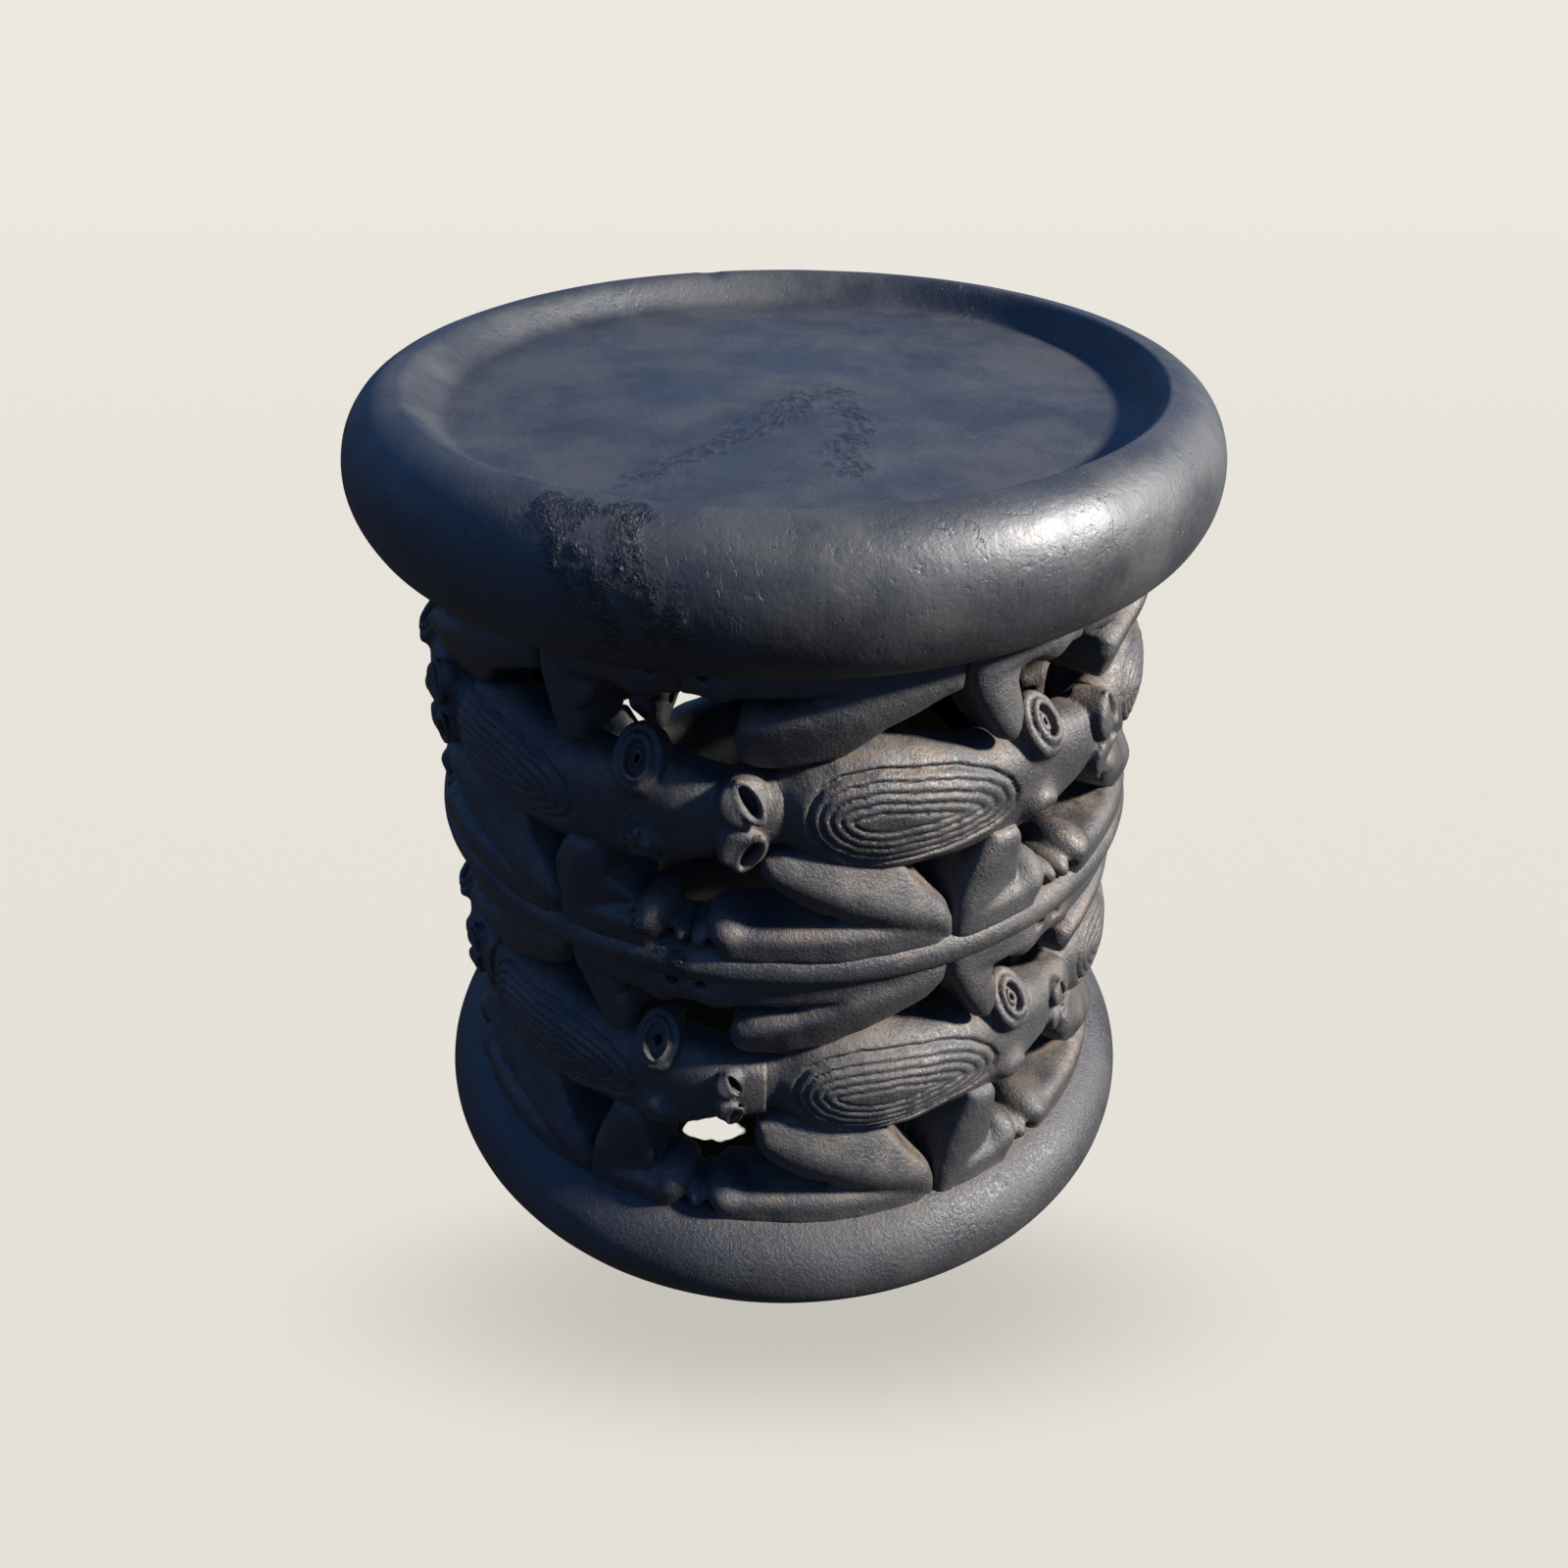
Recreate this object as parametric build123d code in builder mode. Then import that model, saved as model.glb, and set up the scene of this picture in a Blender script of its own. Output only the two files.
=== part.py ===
from build123d import *
from math import cos, radians, sin
import os

# A round drum table: a dished seat on a pierced wall of carved animals, which lie nose to
# tail in two tiers with a round girdle between them, on a heavy base ring.
# Origin at the centre of the foot, on the floor. +Z is up and the front looks along -Y.
# A place on the wall is an angle to the right of the front, a height and a radius.

os.makedirs("parts", exist_ok=True)

# Heights in mm, stacked up from the floor
base_ring_height = 58.0
lower_tier_height = 162.0
girdle_height = 21.0
upper_tier_height = 157.0
rim_height = 76.5

# Seat
seat_diameter = 460.0
rim_width = 60.0
rim_bank_width = 21.5
dish_depth = 16.5
seat_plate_thickness = 38.0

# Wall that the animals are carved from, which sets the size of the rings that it stands between
rim_overhang = 28.0
wall_taper = 4.5
wall_thickness = 48.0
animals_per_tier = 6
upper_turn = 0.0
lower_turn = -3.0
upper_body_drop = 3.0
lower_body_rise = 5.0

# Base ring and girdle, and how far each stands out from the lower tier's wall
base_ring_stand_out = 17.5
base_ring_width = 66.0
foot_flat_depth = 2.0
girdle_stand_out = 3.0
girdle_width = 42.0

# Body, from rump to snout: heights, depths, and places as shares of the way to the next rump
rump_height, rump_depth = 37.0, 32.0
haunch_height, haunch_depth, haunch_at = 57.0, 41.0, 0.09
belly_height, belly_depth, belly_at = 69.0, 48.0, 0.24
loin_height, loin_depth, loin_at = 57.0, 45.0, 0.44
neck_height, neck_depth, neck_at = 47.0, 39.0, 0.57
head_height, head_depth, head_at = 50.0, 40.0, 0.7
muzzle_height, muzzle_depth, muzzle_at = 42.0, 38.0, 0.82
snout_height, snout_depth = 36.0, 32.0

# Eyes
eye_at = 0.68
eye_diameter = 23.0
eye_stand_out = 14.0
eye_rise = 19.0
eye_tilt = 36.0
eye_depth = 16.0
eye_sides = 10

# Hind legs: the thigh's edges over the body's axis, or short of the ring that it braces
hip_end_at, hip_end_low, hip_end_high = -0.085, 28.0, 40.0
hip_at, hip_low, hip_high = -0.045, 20.0, 46.0
groin_at, groin_low, groin_high = 0.06, 21.0, 49.0
crotch_at, crotch_low = 0.13, 24.0
thigh_at, thigh_low = 0.24, 28.0
knee_at = 0.42
heel_at, heel_thickness = -0.15, 20.0
toes_at, toes_thickness = -0.22, 9.0

# Fore legs, in the same way
arm_at, arm_low = 0.475, 45.0
shoulder_at, shoulder_low, shoulder_gap = 0.55, 18.0, 4.0
armpit_at, armpit_low, armpit_gap = 0.6, 20.0, 27.0
arm_end_at, arm_end_low, arm_end_high = 0.62, 26.0, 40.0
palm_at, palm_thickness = 0.7, 19.0
fingers_at, fingers_thickness = 0.775, 9.0

# Thickness of knees and of shins and forearms: on a ring, hanging from one, and under the seat
knee_thickness, hanging_knee_thickness, seat_knee_thickness = 13.0, 15.0, 22.0
shin_thickness, hanging_shin_thickness = 14.0, 20.0
leg_depth = 42.0
leg_step_back = 2.0
shin_depth = 37.0
shin_step_back = 5.0

# Bevels round the face of a form: where each one starts, as a share of the form's height, and
# how high above or below the aim of the form's own edge its line meets the drum's axis
body_bevels = [(0.27, 420.0), (0.17, 170.0)]
leg_bevels = [(0.23, 250.0)]

# Worked out from the sizes above
upper_wall_diameter = seat_diameter - 2 * rim_overhang
lower_wall_diameter = upper_wall_diameter - 2 * wall_taper
base_ring_diameter = lower_wall_diameter + 2 * base_ring_stand_out
girdle_diameter = lower_wall_diameter + 2 * girdle_stand_out
pitch = 360.0 / animals_per_tier
girdle_bottom = base_ring_height + lower_tier_height
girdle_top = girdle_bottom + girdle_height
seat_bottom = girdle_top + upper_tier_height
seat_top = seat_bottom + rim_height
dish_floor = seat_top - dish_depth
seat_ceiling = dish_floor - seat_plate_thickness
hollow_radius = upper_wall_diameter / 2 - wall_thickness
lower_axis_height = (base_ring_height + girdle_bottom) / 2 + lower_body_rise
upper_axis_height = (girdle_top + seat_bottom) / 2 - upper_body_drop


def radial_plane(angle):
    """Upright plane through the drum's axis: x is the radius and y the height."""
    turned = radians(angle)
    return Plane(origin=(0, 0, 0), x_dir=(sin(turned), -cos(turned), 0), z_dir=(-cos(turned), -sin(turned), 0))


def bevelled_edge(edge, aim, face, back, height, side, bevels):
    """Corners of a section's upper or lower side, from its face to its back. Each line of it
    points at a place on the drum's axis, which is given as a height."""
    lines = [(edge - side * share * height, aim + side * reach) for share, reach in bevels]
    lines.append((edge, aim))
    corners = [(face, lines[0][0])]
    for (start, target), (next_start, next_target) in zip(lines, lines[1:]):
        share = (target - next_target) / (target - next_target + next_start - start)
        corners.append((face * share, target + (start - target) * share))
    corners.append((back, aim + (edge - aim) * back / face))
    return corners


def hewn(stations, low_aim, high_aim, bevels):
    """Form that follows the wall through stations of place, low edge, high edge, face and back.
    Matching edges of all its sections point at one place on the drum's axis, so that the
    faces between the sections are flat, as an adze leaves them."""
    with BuildPart() as form:
        for share, low, high, face, back in stations:
            upper = bevelled_edge(high, high_aim, face, back, high - low, 1, bevels)
            lower = bevelled_edge(low, low_aim, face, back, high - low, -1, bevels)
            with BuildSketch(radial_plane(share * pitch)):
                with BuildLine():
                    Polyline(*upper, *reversed(lower), close=True)
                make_face()
        loft(ruled=True)
    return form.part


def write(part, node):
    """Label a finished piece and write its STEP file."""
    part.label = node
    export_step(part, f"parts/{node}.step")


# ---------------------------------------------------------------- seat
rim_radius = (seat_diameter - rim_width) / 2
with BuildPart() as seat:
    with BuildSketch(Plane.XZ):
        with BuildLine():
            roll = EllipticalCenterArc(
                (rim_radius, seat_bottom + rim_height / 2),
                rim_width / 2,
                rim_height / 2,
                -90,
                arc_size=180,
            )
            bank = Bezier(
                roll @ 1,
                (rim_radius - rim_bank_width / 2, seat_top),
                (rim_radius - rim_bank_width / 2, dish_floor),
                (rim_radius - rim_bank_width, dish_floor),
            )
            Polyline(
                bank @ 1,
                (0, dish_floor),
                (0, seat_ceiling),
                (hollow_radius - seat_plate_thickness / 4, seat_ceiling),
                (hollow_radius, seat_bottom),
                roll @ 0,
            )
        make_face()
    revolve(axis=Axis.Z)
write(seat.part, "seat")

# ---------------------------------------------------------------- base ring
with BuildPart() as base_ring:
    with BuildSketch(Plane.XZ):
        ring_middle = (base_ring_diameter - base_ring_width) / 2
        half_height = (base_ring_height + foot_flat_depth) / 2
        with Locations((ring_middle, base_ring_height - half_height)):
            Ellipse(base_ring_width / 2, half_height)
        with Locations((ring_middle, -foot_flat_depth)):
            Rectangle(base_ring_width, foot_flat_depth * 2, mode=Mode.SUBTRACT)
    revolve(axis=Axis.Z)
write(base_ring.part, "base_ring")

# ---------------------------------------------------------------- girdle
with BuildPart() as girdle:
    with BuildSketch(Plane.XZ):
        nose_radius = girdle_height / 2
        nose_middle = girdle_diameter / 2 - nose_radius
        inner_edge = girdle_diameter / 2 - girdle_width
        with BuildLine():
            nose = CenterArc((nose_middle, girdle_bottom + nose_radius), nose_radius, -90, 180)
            Polyline(nose @ 1, (inner_edge, girdle_top), (inner_edge, girdle_bottom), nose @ 0)
        make_face()
    revolve(axis=Axis.Z)
write(girdle.part, "girdle")


# ---------------------------------------------------------------- animals
def animal_body(axis_height, wall_radius):
    """Trunk, neck, head and snout in one, from the rump to the next animal's rump."""
    middle = wall_radius - wall_thickness / 2
    stations = [
        (share, axis_height - height / 2, axis_height + height / 2, middle + depth / 2, middle - depth / 2)
        for share, height, depth in [
            (0.0, rump_height, rump_depth),
            (haunch_at, haunch_height, haunch_depth),
            (belly_at, belly_height, belly_depth),
            (loin_at, loin_height, loin_depth),
            (neck_at, neck_height, neck_depth),
            (head_at, head_height, head_depth),
            (muzzle_at, muzzle_height, muzzle_depth),
            (1.0, snout_height, snout_depth),
        ]
    ]
    with BuildPart() as body:
        add(hewn(stations, axis_height, axis_height, body_bevels))
        across = radial_plane(eye_at * pitch)
        for side in (1, -1):
            tilt = side * radians(eye_tilt)
            gaze = across.x_dir * cos(tilt) + across.y_dir * sin(tilt)
            root = across.x_dir * (wall_radius - eye_depth) + Vector(0, 0, axis_height + side * eye_rise)
            with BuildSketch(Plane(origin=root, x_dir=across.z_dir, z_dir=gaze)):
                RegularPolygon(eye_diameter / 2, eye_sides)
            extrude(amount=eye_stand_out)
    return body.part


def leg(limbs, body):
    """Join a leg's limbs and cut them to the bodies beside them."""
    with BuildPart() as whole:
        add(limbs)
        add([body, body.rotate(Axis.Z, -pitch)], mode=Mode.SUBTRACT)
    return whole.part


def limb(places, axis_height, ring_face, side, depth, face, short_aim):
    """Limb through places that give its edge near the body and its edge near the ring, each as
    a distance from the body's axis. Its near edges aim short of the ring by a distance."""
    reach = side * (ring_face - axis_height)
    near_aim = axis_height + side * (reach - short_aim)
    stations = []
    for share, near, far in places:
        edges = sorted((axis_height + side * near, axis_height + side * min(far, reach)))
        stations.append((share, *edges, face, face - depth))
    aims = (near_aim, ring_face) if side > 0 else (ring_face, near_aim)
    return hewn(stations, *aims, leg_bevels)


def hind_leg(axis_height, wall_radius, ring_face, side, knee, shin_height, body):
    """Thigh from the hip to the knee on the ring, and shin back along the ring to the toes."""
    reach = side * (ring_face - axis_height)
    thigh = [
        (hip_end_at, hip_end_low, hip_end_high),
        (hip_at, hip_low, hip_high),
        (groin_at, groin_low, groin_high),
        (crotch_at, crotch_low, reach - shin_height),
        (thigh_at, thigh_low, reach),
        (knee_at, reach - knee, reach),
    ]
    shin = [
        (toes_at, reach - toes_thickness, reach),
        (heel_at, reach - heel_thickness, reach),
        (0.0, reach - shin_height, reach),
        (knee_at, reach - knee, reach),
    ]
    return leg(
        [
            limb(thigh, axis_height, ring_face, side, leg_depth, wall_radius - leg_step_back, reach),
            limb(shin, axis_height, ring_face, side, shin_depth, wall_radius - shin_step_back, shin_height),
        ],
        body,
    )


def fore_leg(axis_height, wall_radius, ring_face, side, knee, forearm_height, body):
    """Upper arm from the shoulder to the elbow on the ring, and forearm on to the fingers."""
    reach = side * (ring_face - axis_height)
    upper_arm = [
        (knee_at, reach - knee, reach),
        (arm_at, arm_low, reach),
        (shoulder_at, shoulder_low, reach - shoulder_gap),
        (armpit_at, armpit_low, reach - armpit_gap),
        (arm_end_at, arm_end_low, arm_end_high),
    ]
    forearm = [
        (knee_at, reach - knee, reach),
        (armpit_at, reach - forearm_height, reach),
        (palm_at, reach - palm_thickness, reach),
        (fingers_at, reach - fingers_thickness, reach),
    ]
    return leg(
        [
            limb(upper_arm, axis_height, ring_face, side, leg_depth, wall_radius - leg_step_back, reach),
            limb(forearm, axis_height, ring_face, side, shin_depth, wall_radius - shin_step_back, forearm_height),
        ],
        body,
    )


# Each tier's axis height and wall radius, and its roof and floor with the knees and shins there
hanging = (hanging_knee_thickness, hanging_shin_thickness)
standing = (knee_thickness, shin_thickness)
tiers = {
    "lower": (lower_axis_height, lower_wall_diameter / 2, lower_turn,
              [(girdle_bottom, 1, *hanging), (base_ring_height, -1, *standing)]),
    "upper": (upper_axis_height, upper_wall_diameter / 2, upper_turn,
              [(seat_bottom, 1, seat_knee_thickness, hanging_shin_thickness), (girdle_top, -1, *standing)]),
}
for tier, (axis_height, wall_radius, turn, rings) in tiers.items():
    body = animal_body(axis_height, wall_radius)
    pieces = {
        "body": [body],
        "hind_legs": [hind_leg(axis_height, wall_radius, *ring, body) for ring in rings],
        "fore_legs": [fore_leg(axis_height, wall_radius, *ring, body) for ring in rings],
    }
    for number in range(animals_per_tier):
        for name, solids in pieces.items():
            with BuildPart() as piece:
                add([solid.rotate(Axis.Z, turn + number * pitch) for solid in solids], clean=False)
            write(piece.part, f"{tier}_animal_{number + 1}_{name}")
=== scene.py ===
import math

import bpy
import numpy as np
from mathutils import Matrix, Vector


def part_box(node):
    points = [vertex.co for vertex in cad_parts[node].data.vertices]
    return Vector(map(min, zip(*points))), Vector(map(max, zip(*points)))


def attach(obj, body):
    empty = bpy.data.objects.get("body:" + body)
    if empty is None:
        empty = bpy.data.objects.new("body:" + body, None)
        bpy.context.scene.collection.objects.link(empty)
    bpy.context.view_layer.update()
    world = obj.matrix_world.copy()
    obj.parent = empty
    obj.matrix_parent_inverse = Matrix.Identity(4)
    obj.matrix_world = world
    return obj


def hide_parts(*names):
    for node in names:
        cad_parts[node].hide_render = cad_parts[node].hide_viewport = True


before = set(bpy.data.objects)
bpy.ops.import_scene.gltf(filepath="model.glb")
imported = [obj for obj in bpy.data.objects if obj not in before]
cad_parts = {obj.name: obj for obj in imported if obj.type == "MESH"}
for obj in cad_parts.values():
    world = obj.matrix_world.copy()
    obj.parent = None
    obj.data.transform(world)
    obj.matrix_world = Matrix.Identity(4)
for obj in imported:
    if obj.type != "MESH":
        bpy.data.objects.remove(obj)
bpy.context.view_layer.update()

bl_info = {
    "name": "Carved Drum Table",
    "version": (1, 0, 0),
    "blender": (4, 5, 0),
    "location": "3D View > Sidebar > Drum Table",
    "description": "Carves the dished seat, the rings and the animals of a blackened drum table",
    "category": "Add Mesh",
}

MM = 0.001
IMAGE_WIDTH = 1600
FOCAL_PIXELS = 1513

# Heights of the rings' faces, read from the frame, in mm
FLOOR_FACE = {"lower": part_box("base_ring")[1][2] / MM, "upper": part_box("girdle")[1][2] / MM}
ROOF_FACE = {"lower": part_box("girdle")[0][2] / MM, "upper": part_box("seat")[0][2] / MM}
SEAT_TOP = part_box("seat")[1][2] / MM
RIM_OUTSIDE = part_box("seat")[1][0] / MM
BASE_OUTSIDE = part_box("base_ring")[1][0] / MM
GIRDLE_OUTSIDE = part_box("girdle")[1][0] / MM

# The wall that the animals are carved from, in mm and degrees
WALL_RADIUS = {"lower": 197.5, "upper": 202.0}
BODY_HEIGHT = {"lower": 144.0, "upper": 316.5}
TURN = {"lower": -3.0, "upper": 0.0}
LATER = {"lower": 3.0, "upper": 0.0}    # degrees that the legs and shields stand on from the rumps
FINE_TO = -16.0          # depth behind the wall's face that the carving is finely sampled to

# The seat, in mm: the rim's width, the dish, the plate under it and the mouth of the hollow below
RIM_WIDTH = 60.0
DISH_RADIUS, DISH_DEPTH = 178.5, 16.5
DISH_ASIDE = 3.5         # the dish was cut a little to the right of the rim's middle
PLATE_THICKNESS = 38.0
HOLLOW_RADIUS, HOLLOW_MOUTH = 144, 154

# Line of a shield's outer groove, in degrees along the wall and mm above the body's axis
SHIELD = [(3.2, 3), (3.7, 11), (5.2, 18), (8, 22.5), (13, 24.5), (20, 23), (25, 19.5), (30, 13),
          (33, 5), (34.4, -4), (34.1, -9.5), (32.8, -14.5), (30.4, -18), (25, -21.5), (19, -24),
          (13, -23.5), (9, -20.5), (6, -14.5), (4, -6)]

# Streaks of burnt crust, each a path in mm, a reach to either side and a strength from 0 to 1, and
# two chipped places, each a centre, a reach and a depth
CRUST = [
    ([(-96, -190, 472), (-81, -214, 448), (-71, -218, 426)], 13, 1.0),
    ([(-66, -199, 473), (-59, -220, 450), (-46, -225, 428)], 11, 1.0),
    ([(-94, -190, 472), (-58, -200, 473)], 8, 1.0),
    ([(-72, -124, 458), (-24, -74, 458), (6, -20, 458)], 16, 0.5),
    ([(-14, -48, 458), (10, -6, 458), (26, 0, 458), (34, -30, 458)], 19, 0.45),
    ([(34, -30, 458), (36, -60, 458), (26, -118, 458), (38, -110, 458)], 14, 0.5),
    ([(-70, -188, 306), (-78, -184, 276)], 10, 1.0),
    ([(-82, -184, 262), (-50, -194, 229)], 8, 1.0),
]
CHIPS = [((-47, 196, 472), 7, 1.6), ((121, -190, 402), 6, 0.8)]

ANIMALS = 6
PITCH = 360 / ANIMALS
# An animal with a web of wood left behind the gap between its knee and elbow, and one with a long
# neck, with the degrees that its shield and arms sit back
BLIND = {("lower", 3)}
STRETCHED = {("upper", 6): -5.0}


def linear(hex_colour):
    """An sRGB hex colour as the linear RGBA that a shader takes."""
    channels = [int(hex_colour[i:i + 2], 16) / 255 for i in (1, 3, 5)]
    return [c / 12.92 if c <= 0.04045 else ((c + 0.055) / 1.055) ** 2.4 for c in channels] + [1.0]


# ------------------------------------------------------------------ settings
class DrumCarving(bpy.types.PropertyGroup):
    """Sizes of the carving"""

    carve_step: bpy.props.FloatProperty(
        name="Carving Step", description="Distance between the points of a carved surface",
        default=0.0012, min=0.0006, max=0.004, unit="LENGTH", precision=4)
    groove_spacing: bpy.props.FloatProperty(
        name="Groove Spacing", description="Distance from one of the shield's grooves to the next",
        default=0.0048, min=0.003, max=0.01, unit="LENGTH", precision=4)
    groove_count: bpy.props.IntProperty(
        name="Shield Grooves", description="Nested oval grooves in the shield", default=5, min=1, max=8)
    groove_depth: bpy.props.FloatProperty(
        name="Groove Depth", description="Depth of the shield's grooves",
        default=0.0015, min=0.0, max=0.004, unit="LENGTH", precision=4)
    eye_diameter: bpy.props.FloatProperty(
        name="Eye Diameter", description="Width of the upright oval knob of an eye",
        default=0.0265, min=0.01, max=0.035, unit="LENGTH")
    seed: bpy.props.IntProperty(
        name="Seed", description="Which hand-carved variation the animals and rings get", default=7, min=0)


class DrumFinish(bpy.types.PropertyGroup):
    """Colours and gloss of the blackened wood"""

    wood_colour: bpy.props.FloatVectorProperty(
        name="Blackened Wood", description="Colour of the rubbed black wood", subtype="COLOR",
        size=4, min=0, max=1, default=linear("#25282C"))
    worn_colour: bpy.props.FloatVectorProperty(
        name="Worn Edges", description="Colour where hands have rubbed the black thin", subtype="COLOR",
        size=4, min=0, max=1, default=linear("#3C3B39"))
    dust_colour: bpy.props.FloatVectorProperty(
        name="Dust", description="Colour of the earth that lies in the hollows", subtype="COLOR",
        size=4, min=0, max=1, default=linear("#5A4D41"))
    crust_colour: bpy.props.FloatVectorProperty(
        name="Crust", description="Colour of the burnt crust", subtype="COLOR",
        size=4, min=0, max=1, default=linear("#111214"))
    roughness: bpy.props.FloatProperty(
        name="Roughness", description="Roughness of the rubbed wood", default=0.45, min=0, max=1)


# ------------------------------------------------------------------ noise and curves
def unevenness(u, v, w, size, seed):
    """Smooth random values from -1 to 1 on a lattice of cells of that size."""
    table = np.random.default_rng(seed).uniform(-1, 1, 4096).astype(np.float32)
    scramble = np.random.default_rng(seed + 1).permutation(4096)
    cells, shares = [], []
    for values in (u, v, w):
        scaled = np.asarray(values, np.float32) / size
        low = np.floor(scaled)
        share = scaled - low
        cells.append(low.astype(np.int64))
        shares.append(share * share * (3 - 2 * share))
    total = 0
    for a in (0, 1):
        for b in (0, 1):
            for c in (0, 1):
                index = scramble[(cells[0] + a) & 4095]
                index = scramble[(index + cells[1] + b) & 4095]
                value = table[(index + cells[2] + c) & 4095]
                weight = (shares[0] if a else 1 - shares[0]) * (shares[1] if b else 1 - shares[1])
                total = total + value * weight * (shares[2] if c else 1 - shares[2])
    return total


def flowing(x, stations):
    """A smooth curve through (place, value) stations, level outside them."""
    xs, ys = np.array(stations, float).T
    slopes = np.gradient(ys, xs)
    x = np.clip(x, xs[0], xs[-1])
    i = np.clip(np.searchsorted(xs, x, side="right") - 1, 0, len(xs) - 2)
    width = xs[i + 1] - xs[i]
    t = (x - xs[i]) / width
    return ((1 + 2 * t) * (1 - t) ** 2 * ys[i] + t * (1 - t) ** 2 * width * slopes[i]
            + t * t * (3 - 2 * t) * ys[i + 1] + t * t * (t - 1) * width * slopes[i + 1])


def join(a, b, blend):
    """The union of two forms with a rounded inner corner."""
    h = np.clip(0.5 + 0.5 * (b - a) / blend, 0, 1)
    return b + (a - b) * h - blend * h * (1 - h)


def cut(a, b, blend):
    """Form a with form b taken out of it, the rim rounded."""
    return -join(-a, b, blend)


# ------------------------------------------------------------------ forms, in flat wall space
# u runs along the wall to the right, v up from the body's axis and w out from the wall's face.
def outline_distance(u, v, corners, swell):
    """Distance in the wall's plane to an outline of corners with rounded edges, less than 0 inside."""
    points = np.array(corners, np.float32)
    best = np.full(u.shape, 1e9, np.float32)
    sign = np.ones(u.shape, np.float32)
    for (x0, y0), (x1, y1) in zip(points, np.roll(points, -1, axis=0)):
        ex, ey = x1 - x0, y1 - y0
        t = np.clip(((u - x0) * ex + (v - y0) * ey) / (ex * ex + ey * ey), 0, 1)
        best = np.minimum(best, (u - x0 - ex * t) ** 2 + (v - y0 - ey * t) ** 2)
        crosses = (v >= y0) != (v >= y1)
        right = (u - x0) * (y1 - y0) < (v - y0) * (x1 - x0)
        sign = np.where(crosses & (right == (y1 > y0)), -sign, sign)
    return sign * np.sqrt(best) - swell


def rounded(edge, face, radius):
    """What lies inside both an edge and a face, the corner between them rounded."""
    edge, face = edge + radius, face + radius
    return np.minimum(np.maximum(edge, face), 0) + np.hypot(np.maximum(edge, 0), np.maximum(face, 0)) - radius


def relief(u, v, w, corners, swell, top, depth, rounding, ridge=None):
    """A form cut to an outline, its face rounded over at the edges, and roofed along a ridge line
    given as its two ends and the slope that the face falls away at on either side."""
    flat_u, flat_v = u[:, :, :1], v[:, :, :1]
    edge = outline_distance(flat_u, flat_v, corners, swell)
    form = rounded(edge, np.abs(w - top + depth / 2) - depth / 2, rounding)
    if ridge:
        (x0, y0), (x1, y1), slope = ridge
        length = math.hypot(x1 - x0, y1 - y0)
        off = np.abs((flat_u - x0) * (y1 - y0) - (flat_v - y0) * (x1 - x0)) / length
        off = np.sqrt(off**2 + 6.0) - 2.4
        form = -join(-form, -(w - top + slope * off) * 0.94, 2.5)
    return form


def knob(u, v, w, centre, halves):
    """A rounded lump with three half-sizes."""
    size = np.sqrt(((u - centre[0]) / halves[0]) ** 2 + ((v - centre[1]) / halves[1]) ** 2
                   + ((w - centre[2]) / halves[2]) ** 2)
    return (size - 1) * min(halves)


def facing(u, v, w, centre, tilt, yaw):
    """Places measured from a centre, across, up and out along a tilted and turned gaze."""
    u, v, w = u - centre[0], v - centre[1], w - centre[2]
    out = w * math.cos(yaw) + u * math.sin(yaw)
    across = u * math.cos(yaw) - w * math.sin(yaw)
    return across, v * math.cos(tilt) - out * math.sin(tilt), out * math.cos(tilt) + v * math.sin(tilt)


def ring_form(across, up, out, halves, tube, height):
    """An oval ring of round section that stands at a height along its axis."""
    mean = (halves[0] + halves[1]) / 2
    away = np.hypot(across / halves[0], up / halves[1]) * mean - mean
    return np.hypot(away, out - height) - tube


# ------------------------------------------------------------------ the animal
class Animal:
    """One carved animal: its place on the wall and its own small differences."""

    def __init__(self, tier, number, seed):
        self.tier = tier
        self.number = number
        self.seed = seed
        self.radius = WALL_RADIUS[tier]
        self.height = BODY_HEIGHT[tier]
        self.angle = TURN[tier] + PITCH * (number - 1)
        self.degree = math.radians(self.radius)
        self.up = ROOF_FACE[tier] - self.height
        self.down = self.height - FLOOR_FACE[tier]
        self.stretch = STRETCHED.get((tier, number), 0.0)
        self.later = LATER[tier]
        self.rng = np.random.default_rng(seed)

    def vary(self, amount):
        """A small random difference."""
        return float(self.rng.uniform(-amount, amount))

    def name(self, piece):
        return f"{self.tier}_animal_{self.number}_{piece}"


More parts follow.
